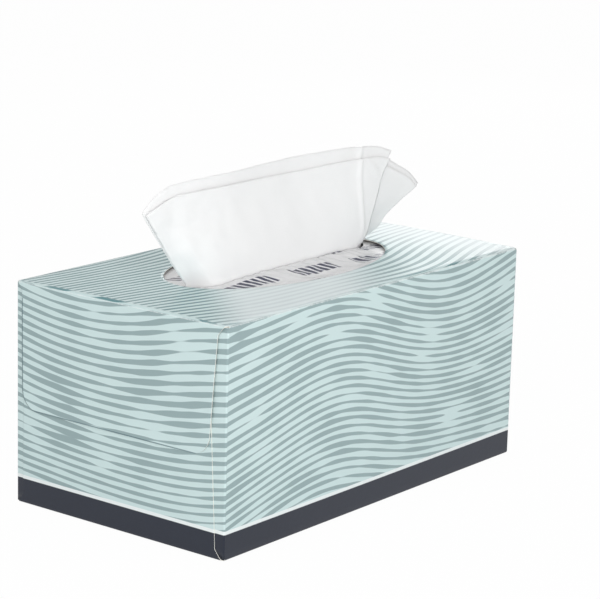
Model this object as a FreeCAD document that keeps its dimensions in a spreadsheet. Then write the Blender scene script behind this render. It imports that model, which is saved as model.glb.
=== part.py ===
import FreeCAD, Part

import math
import os
import re

import Sketcher
from FreeCAD import Vector

# Driving sizes, in millimetres unless the words say otherwise

SIZES = [
    ("carton_length", 245.0, "outside length of the carton, along X"),
    ("carton_width", 137.0, "outside width of the carton, along Y"),
    ("carton_height", 115.0, "outside height of the carton"),
    ("board", 0.45, "thickness of the paperboard"),
    ("fold_radius", 0.4, "outside radius of a creased fold"),
    ("seam_flap_width", 16.0, "width of the glued flap inside the back panel"),
    ("seam_flap_inset", 5.0, "how far the seam flap stops short of the panel's ends"),
    ("seam_edge_gap", 0.15, "height of the back panel's cut edge above the floor"),
    ("dust_flap_length", 60.0, "how far a dust flap reaches in from its side panel"),
    ("dust_flap_side_gap", 0.6, "dust flap's gap to the top and bottom at its fold"),
    ("dust_flap_taper", 7.0, "extra gap at a dust flap's free edge"),
    ("upper_flap_height", 65.0, "height of the end flap that hangs from the top panel"),
    ("flap_overlap", 32.0, "how far the lower end flap reaches up behind the upper one"),
    ("flap_fold_inset", 1.5, "an end flap's inset from the side panels at its fold"),
    ("flap_shoulder", 5.0, "length of the angled shoulder beside an end flap's fold"),
    ("front_flap_inset", 5.5, "an end flap's inset from the front, past its shoulder"),
    ("back_flap_inset", 4.4, "an end flap's inset from the back, past its shoulder"),
    ("front_flap_taper", 4.5, "extra inset from the front at an end flap's free edge"),
    ("back_flap_taper", 1.0, "extra inset from the back at an end flap's free edge"),
    ("flap_corner", 10.0, "radius of an end flap's free corners"),
    ("opening_length", 154.0, "length of the oval opening in the top"),
    ("opening_width", 80.0, "width of the oval opening in the top"),
    ("film_thickness", 0.1, "thickness of the window film"),
    ("glue_line", 0.05, "thickness of the glue between the film and the top panel"),
    ("film_margin", 14.0, "film glued under the top, beyond the opening"),
    ("film_rise", 2.0, "how far the tissue lifts the film's lips"),
    ("film_rim_land", 1.5, "flat film inside the opening's cut edge"),
    ("lip_rounding", 3.0, "distance over which the film turns level beside the slit"),
    ("pucker_height", 0.6, "height of the film's puckers at the end that is pulled"),
    ("pucker_pitch", 22.0, "spacing of the film's puckers"),
    ("slit_length", 148.0, "length of the slit in the film"),
    ("slit_clearance", 0.5, "gap between the slit's lips and the tissue"),
    ("front_bulge", 8.0, "how far the tissue pushes the slit's front lip forward"),
    ("front_bulge_slope", 0.03, "extra push of the front lip for each mm to the left"),
    ("back_bulge", 3.5, "how far the tissue pushes the slit's back lip backward"),
    ("tissue_thickness", 0.3, "thickness of one tissue sheet"),
    ("stack_end_gap", 6.65, "free space between the stack and the three flaps at each end"),
    ("stack_side_gap", 1.55, "free space between the stack and each side panel"),
    ("headspace", 3.6, "free height between the stack and the film"),
    ("stack_fold_radius", 2.0, "radius of the stack's folded long edges"),
    ("bundle_height", 6.0, "height of one bundle of folds in the stack"),
    ("bundle_groove", 0.8, "depth of the groove between two bundles"),
    ("rest_clearance", 0.1, "gap between the raised sheet and the stack"),
    ("leaf_gap", 1.6, "distance between the raised sheet's leaves where they lie on the stack"),
    ("bend_radius", 1.2, "smallest bend where the raised sheet turns up"),
    ("laid_length", 50.0, "how far behind the slit the raised sheet lies on the stack"),
    ("pleat_height", 0.8, "half height of the gathers in the slit"),
    ("pleat_pitch", 30.0, "spacing of the gathers in the slit"),
    ("gather_left", 69.0, "reach of the gathered sheet in the slit, to the left"),
    ("gather_right", 72.0, "reach of the gathered sheet in the slit, to the right"),
    ("raised_height", 54.0, "height of the raised sheet above the top panel"),
    ("leaf_step", 6.0, "how far the front leaf's edge stays below the back leaf's"),
    ("tip_step", 2.0, "the same, at the left tip"),
    ("edge_gap", 1.2, "distance between the two leaves at their upper edges"),
    ("left_reach", 105.0, "reach of the raised sheet's left tip from the middle"),
    ("left_drop", 13.0, "drop of the raised sheet's edge at its left tip"),
    ("right_reach", 122.0, "reach of the raised sheet's right corner from the middle"),
    ("right_drop", 28.0, "drop of the raised sheet's edge at its right corner"),
    ("drop_start", 78.0, "place along the slit from which the edge drops to the right"),
    ("fold_place", 84.0, "place along the slit of the sheet's upright fold, at its top"),
    ("fold_lean", 0.2, "how far the upright fold leans, for each mm of height"),
    ("fold_width", 9.0, "width over which the sheet steps back behind the fold"),
    ("fold_depth", 4.0, "how far the sheet steps back behind the fold"),
    ("billow", 2.5, "half depth of the raised sheet's broad waves"),
]


STACK_LENGTH = "(carton_length - 2 * (3 * board + stack_end_gap))"
STACK_WIDTH = "(carton_width - 2 * (board + stack_side_gap))"


class Sizes:
    """The sheet's values by name, and the places that follow from them."""

    def __init__(self, sheet):
        for alias, _value, _meaning in SIZES:
            setattr(self, alias, float(sheet.get(alias)))
        self.sheet_width = self.carton_length - 2 * (3 * self.board + self.stack_end_gap)
        self.film_top = self.carton_height - self.board - self.glue_line
        self.film_bottom = self.film_top - self.film_thickness
        self.stack_top = self.film_bottom - self.headspace
        self.lip_top = self.film_top + self.film_rise + self.pucker_height
        self.lip_offset = self.tissue_thickness / 2 + self.pleat_height + self.slit_clearance


def make_sheet(doc):
    sheet = doc.addObject("Spreadsheet::Sheet", "sizes")
    for row, (alias, value, meaning) in enumerate(SIZES, start=1):
        sheet.set(f"A{row}", alias)
        sheet.set(f"B{row}", str(value))
        sheet.set(f"C{row}", meaning)
        sheet.setAlias(f"B{row}", alias)
    doc.recompute()
    return sheet


# Helpers for sketches and features

def bound(text):
    """An expression on the sheet, from words that name its cells."""
    names = {alias for alias, _value, _meaning in SIZES}
    return re.sub("[a-z_]+", lambda word: f"sizes.{word[0]}" if word[0] in names else word[0], text)


def origin_feature(body, role):
    return next(feature for feature in body.Origin.OriginFeatures if feature.Role == role)


def new_sketch(body, name, role, offset=None):
    sketch = body.newObject("Sketcher::SketchObject", name)
    sketch.AttachmentSupport = [(origin_feature(body, role), "")]
    sketch.MapMode = "FlatFace"
    if offset:
        sketch.setExpression("AttachmentOffset.Base.z", bound(offset))
    return sketch


def outline(sketch, corners):
    """A closed outline through corners, each a pair of expressions."""
    first = sketch.GeometryCount
    count = len(corners)
    places = [tuple(float(sketch.evalExpression(bound(text))) for text in corner) for corner in corners]
    for here, there in zip(places, places[1:] + places[:1]):
        sketch.addGeometry(Part.LineSegment(Vector(*here, 0), Vector(*there, 0)))
    for number in range(count):
        following = first + (number + 1) % count
        sketch.addConstraint(Sketcher.Constraint("Coincident", first + number, 2, following, 1))
    for number, corner in enumerate(corners):
        for kind, text, value in zip(("DistanceX", "DistanceY"), corner, places[number]):
            constraint = Sketcher.Constraint(kind, -1, 1, first + number, 1, value)
            index = sketch.addConstraint(constraint)
            sketch.setExpression(f"Constraints[{index}]", bound(text))


def block(sketch, low_x, high_x, low_y, high_y):
    outline(sketch, [(low_x, low_y), (high_x, low_y), (high_x, high_y), (low_x, high_y)])


def pad(body, name, sketch, length, both_ways=False, backwards=False):
    feature = body.newObject("PartDesign::Pad", name)
    feature.Profile = sketch
    feature.Midplane = both_ways
    feature.Reversed = backwards
    feature.setExpression("Length", bound(length))
    body.Tip = feature
    return feature


def pocket(body, name, sketch, length, both_ways=False):
    """A cut that has to take something away."""
    before = body.Shape.Volume
    feature = body.newObject("PartDesign::Pocket", name)
    feature.Profile = sketch
    feature.Midplane = both_ways
    feature.setExpression("Length", bound(length))
    body.Tip = feature
    body.Document.recompute()
    if not body.Shape.Volume < before:
        raise RuntimeError(f"{name} cuts nothing")
    return feature


def fillet(body, name, base, radius, chosen):
    """Rounds the edges of base for which chosen(edge) is true."""
    body.Document.recompute()
    edges = [f"Edge{number}" for number, edge in enumerate(base.Shape.Edges, start=1) if chosen(edge)]
    feature = body.newObject("PartDesign::Fillet", name)
    feature.Base = (base, edges)
    feature.setExpression("Radius", bound(radius))
    body.Tip = feature
    body.Document.recompute()
    return feature


def middle(edge):
    return edge.valueAt((edge.FirstParameter + edge.LastParameter) / 2)


def near(value, target, tolerance=0.01):
    return abs(value - target) < tolerance


def runs_along(edge, axis):
    box = edge.BoundBox
    spans = (box.XLength, box.YLength, box.ZLength)
    return all((span > 0.1) == (number == axis) for number, span in enumerate(spans))


# Carton: one blank, folded into a tube and closed at both ends

HALF_WIDTH = "carton_width / 2"
TUBE_END = "carton_length / 2 - 2 * board"


def tube(body, sizes):
    """Four panels round the tissues, as long as the dust flaps' folds allow."""
    outside = new_sketch(body, "panels_outside", "YZ_Plane")
    block(outside, f"-{HALF_WIDTH}", HALF_WIDTH, "0", "carton_height")
    length = f"2 * ({TUBE_END})"
    panels = pad(body, "panels", outside, length, both_ways=True)
    inside = new_sketch(body, "panels_inside", "YZ_Plane")
    block(inside, f"board - {HALF_WIDTH}", f"{HALF_WIDTH} - board", "board", "carton_height - board")
    body.Document.recompute()
    hollow = pocket(body, "inside", inside, length, both_ways=True)
    half_width = sizes.carton_width / 2

    def long_fold(edge):
        if not runs_along(edge, 0):
            return False
        place = middle(edge)
        outer = near(abs(place.y), half_width)
        top = near(place.z, sizes.carton_height)
        front_bottom = near(place.z, 0) and place.y < 0
        return outer and (top or front_bottom)

    return fillet(body, "long_folds", hollow, "fold_radius", long_fold)


def seam(body):
    """The seam flap stands on the bottom panel's fold, glued inside the back panel, whose edge is cut."""
    section = new_sketch(body, "seam_section", "YZ_Plane")
    block(section, f"{HALF_WIDTH} - 2 * board", f"{HALF_WIDTH} - board", "board", "board + seam_flap_width")
    pad(body, "seam_flap", section, f"2 * ({TUBE_END} - seam_flap_inset)", both_ways=True)
    body.Document.recompute()
    notch = new_sketch(body, "seam_edge", "YZ_Plane")
    block(notch, f"{HALF_WIDTH} - board", HALF_WIDTH, "0", "seam_edge_gap")
    pocket(body, "seam_edge_cut", notch, f"2 * ({TUBE_END})", both_ways=True)


def dust_flaps(body):
    """Two flaps folded in from the front and back panels, the first layer of an end."""
    sketch = new_sketch(body, "dust_flap_outlines", "YZ_Plane", f"-({TUBE_END})")
    for side in ("-1", "1"):
        root = f"{side} * carton_width / 2"
        tip = f"{side} * (carton_width / 2 - dust_flap_length)"
        gap = "dust_flap_side_gap"
        far_gap = "(dust_flap_side_gap + dust_flap_taper)"
        outline(sketch, [
            (root, gap),
            (tip, far_gap),
            (tip, f"carton_height - {far_gap}"),
            (root, f"carton_height - {gap}"),
        ])
    return pad(body, "dust_flaps", sketch, "board")


def end_flap_corners(fold, shoulder, free_edge):
    """Outline of an end flap between its fold and its free edge, as heights."""
    front = "front_flap_inset - carton_width / 2"
    back = "carton_width / 2 - back_flap_inset"
    return [
        ("flap_fold_inset - carton_width / 2", fold),
        ("carton_width / 2 - flap_fold_inset", fold),
        (back, shoulder),
        (f"{back} - back_flap_taper", free_edge),
        (f"{front} + front_flap_taper", free_edge),
        (front, shoulder),
    ]


def lower_flap(body):
    """The flap that stands up from the bottom panel, over the dust flaps."""
    sketch = new_sketch(body, "lower_flap_outline", "YZ_Plane", f"-({TUBE_END})")
    outline(sketch, end_flap_corners("0", "flap_shoulder", "carton_height - upper_flap_height + flap_overlap"))
    return pad(body, "lower_flap", sketch, "board", backwards=True)


def upper_flap(body):
    """The flap that hangs from the top panel, glued over the lower flap."""
    bridge_section = new_sketch(body, "top_fold_section", "YZ_Plane", f"-({TUBE_END})")
    edge = "(carton_width / 2 - flap_fold_inset)"
    block(bridge_section, f"-{edge}", edge, "carton_height - board", "carton_height")
    bridge = pad(body, "top_fold", bridge_section, "board", backwards=True)
    sketch = new_sketch(body, "upper_flap_outline", "YZ_Plane", f"-({TUBE_END}) - board")
    fold = "carton_height"
    corners = end_flap_corners(fold, f"{fold} - flap_shoulder", f"{fold} - upper_flap_height")
    outline(sketch, corners)
    return [bridge, pad(body, "upper_flap", sketch, "board", backwards=True)]


def carton(doc, sizes):
    body = doc.addObject("PartDesign::Body", "carton")
    body.Label = "carton"
    tube(body, sizes)
    seam(body)
    flaps = [dust_flaps(body), lower_flap(body), *upper_flap(body)]
    body.Document.recompute()
    other_end = body.newObject("PartDesign::Mirrored", "other_end")
    other_end.Originals = flaps
    other_end.MirrorPlane = (origin_feature(body, "YZ_Plane"), [""])
    body.Tip = other_end
    doc.recompute()
    half_length = sizes.carton_length / 2
    end_layers = (half_length, half_length - sizes.board)

    def free_corner(edge):
        if not runs_along(edge, 0):
            return False
        place = middle(edge)
        in_flap = half_length - sizes.board < abs(place.x) < half_length
        return in_flap and near(place.z, sizes.carton_height - sizes.upper_flap_height)

    corners = fillet(body, "free_corners", other_end, "flap_corner", free_corner)
    doc.recompute()

    def end_fold(edge):
        if not runs_along(edge, 1):
            return False
        place = middle(edge)
        top = near(place.z, sizes.carton_height) and near(abs(place.x), end_layers[0])
        bottom = near(place.z, 0) and near(abs(place.x), end_layers[1])
        return top or bottom

    folds = fillet(body, "end_folds", corners, "fold_radius", end_fold)
    doc.recompute()
    oval = new_sketch(body, "oval", "XY_Plane", "carton_height + board")
    ellipse(oval, "opening_length", "opening_width")
    doc.recompute()
    pocket(body, "opening", oval, "3 * board")
    return body


def ellipse(sketch, length, width):
    """An ellipse about the sketch's origin, its length along the sketch's X."""
    major = float(sketch.evalExpression(bound(length))) / 2
    minor = float(sketch.evalExpression(bound(width))) / 2
    curve = sketch.addGeometry(Part.Ellipse(Vector(major, 0, 0), Vector(0, minor, 0), Vector(0, 0, 0)))
    sketch.exposeInternalGeometry(curve)
    sketch.addConstraint(Sketcher.Constraint("Coincident", curve, 3, -1, 1))
    sketch.addConstraint(Sketcher.Constraint("Horizontal", curve + 1))
    for line, text, value in ((curve + 1, length, 2 * major), (curve + 2, width, 2 * minor)):
        index = sketch.addConstraint(Sketcher.Constraint("Distance", line, value))
        sketch.setExpression(f"Constraints[{index}]", bound(text))


# Thin sheets: a smooth surface over a net of points, given one thickness

def smooth_surface(net):
    """A cubic surface drawn towards the points of net, a list of rows."""
    degree = 3

    def knots(count):
        inner = count - degree
        return list(range(inner + 1)), [degree + 1] + [1] * (inner - 1) + [degree + 1]

    knots_u, mults_u = knots(len(net))
    knots_v, mults_v = knots(len(net[0]))
    surface = Part.BSplineSurface()
    surface.buildFromPolesMultsKnots(net, mults_u, mults_v, knots_u, knots_v, False, False, degree, degree)
    return surface


def thick_sheet(net, thickness):
    """A sheet as a closed solid, half of its thickness on each side of the net's surface."""
    middle_face = smooth_surface(net).toShape()
    low_face = middle_face.makeOffsetShape(-thickness / 2, 0.001)
    return low_face.makeOffsetShape(thickness, 0.001, fill=True)


def spread(count, low, high):
    return [low + (high - low) * number / (count - 1) for number in range(count)]


def ease(share):
    """0 to 1 with level ends."""
    share = min(max(share, 0.0), 1.0)
    return share * share * (3 - 2 * share)


# Film: glued flat under the top, lifted to two lips along the slit

def slit_swell(sizes, place_x):
    """1 along most of the slit, 0 at its ends."""
    return max(0.0, 1 - abs(2 * place_x / sizes.slit_length) ** 8)


def front_leaf_root(sizes, place_x):
    """Depth at which the raised sheet's front leaf passes the slit."""
    return -(sizes.front_bulge - sizes.front_bulge_slope * place_x) * slit_swell(sizes, place_x)


def back_leaf_root(sizes, place_x):
    """Depth at which the raised sheet's back leaf passes the slit."""
    return sizes.back_bulge * slit_swell(sizes, place_x)


def film_height(sizes, place_x, place_y):
    """How far the film's middle stands above its glued margin."""
    half_length = sizes.opening_length / 2 - sizes.film_rim_land
    half_width = sizes.opening_width / 2 - sizes.film_rim_land
    along = abs(place_x) / half_length
    if along >= 1:
        return 0.0
    rim = half_width * math.sqrt(1 - along**2)
    if place_y < 0:
        lip = -front_leaf_root(sizes, place_x)
    else:
        lip = back_leaf_root(sizes, place_x)
    beyond = max(abs(place_y) - lip, 0.0)
    away = math.hypot(beyond, sizes.lip_rounding) - sizes.lip_rounding
    across = min(away / max(rim - lip, sizes.lip_rounding), 1.0)
    lift = (1 - along**4) * (1 - across) ** 2
    pulled = ease((place_x / half_length - 0.2) / 0.6)
    pucker = sizes.pucker_height * pulled * math.cos(2 * math.pi * place_x / sizes.pucker_pitch)
    return lift * (sizes.film_rise + pucker)


def film(doc, sizes):
    half_x = sizes.opening_length / 2 + sizes.film_margin
    half_y = sizes.opening_width / 2 + sizes.film_margin
    level = sizes.film_top - sizes.film_thickness / 2
    columns = 29
    rows = 25
    net = [
        [Vector(x, y, level + film_height(sizes, x, y)) for y in spread(rows, -half_y, half_y)]
        for x in spread(columns, -half_x, half_x)
    ]
    sheet = doc.addObject("Part::Feature", "film_sheet")
    sheet.Shape = thick_sheet(net, sizes.film_thickness)
    tool = doc.addObject("Part::Feature", "slit_tool")
    tool.Shape = slit_prism(sizes)
    piece = doc.addObject("Part::Cut", "film")
    piece.Base = sheet
    piece.Tool = tool
    piece.Label = "film"
    return piece


def slit_prism(sizes):
    """The slit, pushed open by the tissue, tall enough to pass through both lips."""
    half = sizes.slit_length / 2
    places = [half * math.sin(math.pi / 2 * share) for share in spread(17, -1, 1)]
    front = [Vector(x, front_leaf_root(sizes, x) - sizes.lip_offset, 0) for x in places]
    back = [Vector(x, back_leaf_root(sizes, x) + sizes.lip_offset, 0) for x in places]
    edges = [Part.BSplineCurve(), Part.BSplineCurve()]
    edges[0].interpolate(front)
    edges[1].interpolate(back)
    ends = [Part.makeLine(front[-1], back[-1]), Part.makeLine(back[0], front[0])]
    wire = Part.Wire(Part.__sortEdges__([edges[0].toShape(), ends[0], edges[1].toShape(), ends[1]]))
    prism = Part.Face(wire).extrude(Vector(0, 0, 2 * sizes.film_rise + sizes.headspace))
    prism.translate(Vector(0, 0, sizes.film_bottom - sizes.headspace / 2))
    return prism


# Tissues: the folded stack, and the sheet that stands in the slit

def tissue_stack(doc):
    """A block of folded sheets, its long sides grooved between bundles of folds."""
    body = doc.addObject("PartDesign::Body", "tissue_stack")
    body.Label = "tissue_stack"
    top = "(carton_height - board - glue_line - film_thickness - headspace)"
    section = new_sketch(body, "stack_section", "YZ_Plane")
    block(section, f"-{STACK_WIDTH} / 2", f"{STACK_WIDTH} / 2", "board", top)
    stack = pad(body, "stack", section, STACK_LENGTH, both_ways=True)

    def folded_edge(edge):
        return runs_along(edge, 0)

    fillet(body, "folded_edges", stack, "stack_fold_radius", folded_edge)
    notch = new_sketch(body, "groove_section", "YZ_Plane")
    level = "board + bundle_height"
    outline(notch, [
        (f"-{STACK_WIDTH} / 2", f"{level} - bundle_groove"),
        (f"bundle_groove - {STACK_WIDTH} / 2", level),
        (f"-{STACK_WIDTH} / 2", f"{level} + bundle_groove"),
    ])
    groove = pocket(body, "groove", notch, STACK_LENGTH, both_ways=True)
    many = body.newObject("PartDesign::MultiTransform", "grooves")
    many.Originals = [groove]
    upwards = body.newObject("PartDesign::LinearPattern", "grooves_upwards")
    upwards.Direction = (origin_feature(body, "Z_Axis"), [""])
    count = f"floor(({top} - board - 2 * stack_fold_radius) / bundle_height)"
    upwards.setExpression("Occurrences", bound(count))
    upwards.setExpression("Length", bound(f"bundle_height * ({count} - 1)"))
    both_sides = body.newObject("PartDesign::Mirrored", "grooves_both_sides")
    both_sides.MirrorPlane = (origin_feature(body, "XZ_Plane"), [""])
    many.Transformations = [upwards, both_sides]
    body.Tip = many
    return body


LEAF_SHARES = [0, 0.25, 0.5, 0.75, 1]
BEND_SHARES = [0, 1 / 3, 2 / 3, 1]
FOLD_SHARES = [0.25, 0.5, 0.75, 1]

# The raised sheet's way through a slice across the slit, with the shares along each stretch.
# It starts at the front leaf's edge, comes down through the slit, turns to lie on the stack, folds
# over behind the slit, lies back over itself and goes up through the slit as the back leaf.
# A stretch leaves out the point that it shares with the one before it.
RAISED_PATH = [
    ("front leaf", LEAF_SHARES[::-1]),
    ("front bend", BEND_SHARES),
    ("lower layer", [1]),
    ("fold", FOLD_SHARES),
    ("upper layer", [0]),
    ("back bend", BEND_SHARES[-2::-1]),
    ("back leaf", LEAF_SHARES),
]


def laid_place(sizes, stretch, share, place_x):
    """Depth and height of a point of the sheet below the slit."""
    low = sizes.stack_top + sizes.rest_clearance + sizes.tissue_thickness / 2
    high = low + sizes.leaf_gap
    fold_radius = sizes.leaf_gap / 2
    wide_bend = sizes.bend_radius + sizes.leaf_gap
    angle = share * math.pi / 2
    front = front_leaf_root(sizes, place_x)
    back = back_leaf_root(sizes, place_x)
    if stretch == "front bend":
        return front + wide_bend * (1 - math.cos(angle)), low + wide_bend * (1 - math.sin(angle))
    if stretch == "back bend":
        inward = sizes.bend_radius * (1 - math.cos(angle))
        return back + inward, high + sizes.bend_radius * (1 - math.sin(angle))
    if stretch == "lower layer":
        start = front + wide_bend
        return start + (sizes.laid_length - start) * share, low
    if stretch == "upper layer":
        start = back + sizes.bend_radius
        return start + (sizes.laid_length - start) * share, high
    turned = 2 * angle
    return sizes.laid_length + fold_radius * math.sin(turned), low + fold_radius * (1 - math.cos(turned))


def leaf_edge(sizes, across, front):
    """Reach and height of a leaf's upper edge, at -1 to 1 across the sheet."""
    reach = across * (sizes.left_reach if across < 0 else sizes.right_reach)
    leftward = max(0.0, -across) ** 5
    rightward = max(0.0, (reach - sizes.drop_start) / (sizes.right_reach - sizes.drop_start))
    height = sizes.carton_height + sizes.raised_height - sizes.left_drop * leftward
    height -= sizes.right_drop * rightward**1.2
    if front:
        height -= sizes.leaf_step + (sizes.tip_step - sizes.leaf_step) * leftward
    return reach, height


def leaf_place(sizes, front, share, across, root_x):
    """A point of a leaf above the slit's lips, share of the way up to its edge."""
    edge_x, edge_z = leaf_edge(sizes, across, front)
    root_z = sizes.lip_top + sizes.slit_clearance
    flare = share**0.8 if across < 0 else share
    place_x = root_x + (edge_x - root_x) * flare
    place_z = root_z + (edge_z - root_z) * share
    root_y = front_leaf_root(sizes, root_x) if front else back_leaf_root(sizes, root_x)
    edge_y = -sizes.edge_gap / 2 if front else sizes.edge_gap / 2
    crest = sizes.carton_height + sizes.raised_height
    fold = sizes.fold_place - sizes.fold_lean * (crest - place_z)
    behind = sizes.fold_depth * ease((place_x - fold) / sizes.fold_width) * share
    wave = sizes.billow * math.sin(math.pi * (1.6 * across + 0.3)) * share
    place_y = root_y + (edge_y - root_y) * ease(1.2 * share) + behind + wave
    return Vector(place_x, place_y, place_z)


def raised_point(sizes, stretch, share, across):
    root_x = across * (sizes.gather_left if across < 0 else sizes.gather_right)
    pleat = sizes.pleat_height * math.cos(2 * math.pi * root_x / sizes.pleat_pitch)
    if stretch in ("front leaf", "back leaf"):
        place = leaf_place(sizes, stretch == "front leaf", share, across, root_x)
        return place + Vector(0, pleat * (1 - ease(2.5 * share)), 0)
    depth, height = laid_place(sizes, stretch, share, root_x)
    away = ease((depth - back_leaf_root(sizes, root_x)) / sizes.laid_length)
    place_x = root_x + (across * sizes.sheet_width / 2 - root_x) * away
    return Vector(place_x, depth + pleat * (1 - ease(5 * away)), height)


def raised_slice(sizes, across):
    """The points of the sheet's way at one place across it."""
    way = [(stretch, share) for stretch, shares in RAISED_PATH for share in shares]
    return [raised_point(sizes, stretch, share, across) for stretch, share in way]


def side_points(slices, number, offset):
    """The points of slice number, moved by offset along the sheet's own normal."""
    flat = slices[number]
    before = slices[max(number - 1, 0)]
    after = slices[min(number + 1, len(slices) - 1)]
    across = [later - earlier for earlier, later in zip(before, after)]
    moved = []
    for place, point in enumerate(flat):
        along = flat[min(place + 1, len(flat) - 1)] - flat[max(place - 1, 0)]
        moved.append(point + across[place].cross(along).normalize() * offset)
    return moved


def facets(corner, beside, over, across):
    """The two flat triangles between four points of the sheet."""
    loops = ((corner, beside, across, corner), (corner, across, over, corner))
    return [Part.Face(Part.makePolygon(loop)) for loop in loops]


def slice_outline(slices, number, half):
    """The points round the sheet's section in one slice, up one side and back down the other."""
    return side_points(slices, number, half) + side_points(slices, number, -half)[::-1]


def end_facets(outline_points):
    """The narrow strip that closes the sheet at its first or last slice."""
    count = len(outline_points)
    faces = []
    for place in range(count // 2 - 1):
        after = place + 1
        faces += facets(outline_points[place], outline_points[after], outline_points[-after],
                        outline_points[-after - 1])
    return faces


def raised_tissue(doc, sizes):
    """One sheet folded on itself, gathered in the slit and spreading above it."""
    columns = 21
    slices = [raised_slice(sizes, across) for across in spread(columns, -1, 1)]
    half = sizes.tissue_thickness / 2
    outlines = [slice_outline(slices, number, half) for number in range(columns)]
    faces = end_facets(outlines[0]) + end_facets(outlines[-1])
    for near_points, far_points in zip(outlines, outlines[1:]):
        for place in range(len(near_points)):
            before = place - 1
            faces += facets(near_points[before], near_points[place], far_points[before], far_points[place])
    piece = doc.addObject("Part::Feature", "raised_tissue")
    piece.Shape = Part.makeSolid(Part.makeShell(faces))
    piece.Label = "raised_tissue"
    return piece


# Build, test and write

def check(doc, pieces):
    for item in doc.Objects:
        if "Invalid" in item.State or "Error" in item.State:
            raise RuntimeError(f"{item.Name} is {item.State}")
    for piece in pieces:
        shape = piece.Shape
        if shape.isNull() or not shape.isValid():
            raise RuntimeError(f"{piece.Label} has no valid shape")
        if len(shape.Solids) != 1:
            raise RuntimeError(f"{piece.Label} has {len(shape.Solids)} solids")


def main():
    doc = FreeCAD.newDocument("tissue_box")
    sheet = make_sheet(doc)
    sizes = Sizes(sheet)
    pieces = [carton(doc, sizes), film(doc, sizes), tissue_stack(doc), raised_tissue(doc, sizes)]
    doc.recompute()
    check(doc, pieces)
    os.makedirs("parts", exist_ok=True)
    for piece in pieces:
        piece.Shape.exportStep(f"parts/{piece.Label}.step")
        box = piece.Shape.BoundBox
        print(piece.Label, "volume", round(piece.Shape.Volume, 1), "box", box)


main()
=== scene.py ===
import math

import bmesh
import bpy
import numpy as np
from bpy.props import (
    FloatProperty,
    FloatVectorProperty,
    IntProperty,
    PointerProperty,
)
from mathutils import Matrix, Vector, noise


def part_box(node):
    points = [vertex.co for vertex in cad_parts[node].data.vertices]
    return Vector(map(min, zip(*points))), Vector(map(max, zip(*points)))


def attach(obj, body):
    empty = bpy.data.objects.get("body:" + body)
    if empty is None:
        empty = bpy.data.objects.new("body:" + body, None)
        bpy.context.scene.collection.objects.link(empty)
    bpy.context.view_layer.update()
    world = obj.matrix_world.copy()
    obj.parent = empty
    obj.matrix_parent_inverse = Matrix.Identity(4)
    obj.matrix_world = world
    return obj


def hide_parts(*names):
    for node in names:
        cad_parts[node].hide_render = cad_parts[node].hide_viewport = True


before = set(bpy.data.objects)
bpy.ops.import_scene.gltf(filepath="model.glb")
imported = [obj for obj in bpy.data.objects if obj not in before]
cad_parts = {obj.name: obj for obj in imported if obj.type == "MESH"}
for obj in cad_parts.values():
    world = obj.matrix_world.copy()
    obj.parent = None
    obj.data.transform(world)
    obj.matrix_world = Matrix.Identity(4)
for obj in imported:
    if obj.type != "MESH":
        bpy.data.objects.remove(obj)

bl_info = {
    "name": "Tissue Box",
    "version": (1, 0, 0),
    "blender": (4, 5, 0),
    "location": "View3D > Sidebar > Tissue Box",
    "description": "A printed carton with a slit film window, a folded stack and one raised tissue",
    "category": "Object",
}

MM = 0.001
CARTON_LOW, CARTON_HIGH = (Vector(corner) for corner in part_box("carton"))
FILM_LOW = Vector(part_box("film")[0])
STACK_LOW, STACK_HIGH = (Vector(corner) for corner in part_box("tissue_stack"))
LENGTH = CARTON_HIGH.x - CARTON_LOW.x
WIDTH = CARTON_HIGH.y - CARTON_LOW.y
HEIGHT = CARTON_HIGH.z
FILM_LEVEL = FILM_LOW.z + 0.05 * MM


def colour(red, green, blue):
    """A display colour of 0 to 255 as the linear colour that Blender takes."""
    def linear(value):
        value /= 255
        return value / 12.92 if value <= 0.04045 else ((value + 0.055) / 1.055) ** 2.4

    return (linear(red), linear(green), linear(blue), 1.0)


# Settings

def length_setting(name, description, default, low, high):
    """A length whose default and limits are given in millimetres."""
    return FloatProperty(
        name=name, description=description, default=default * MM, min=low * MM, max=high * MM,
        subtype="DISTANCE", unit="LENGTH", precision=5,
    )


def colour_setting(name, description, default):
    return FloatVectorProperty(
        name=name, description=description, default=default, size=4, min=0, max=1, subtype="COLOR"
    )


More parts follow.
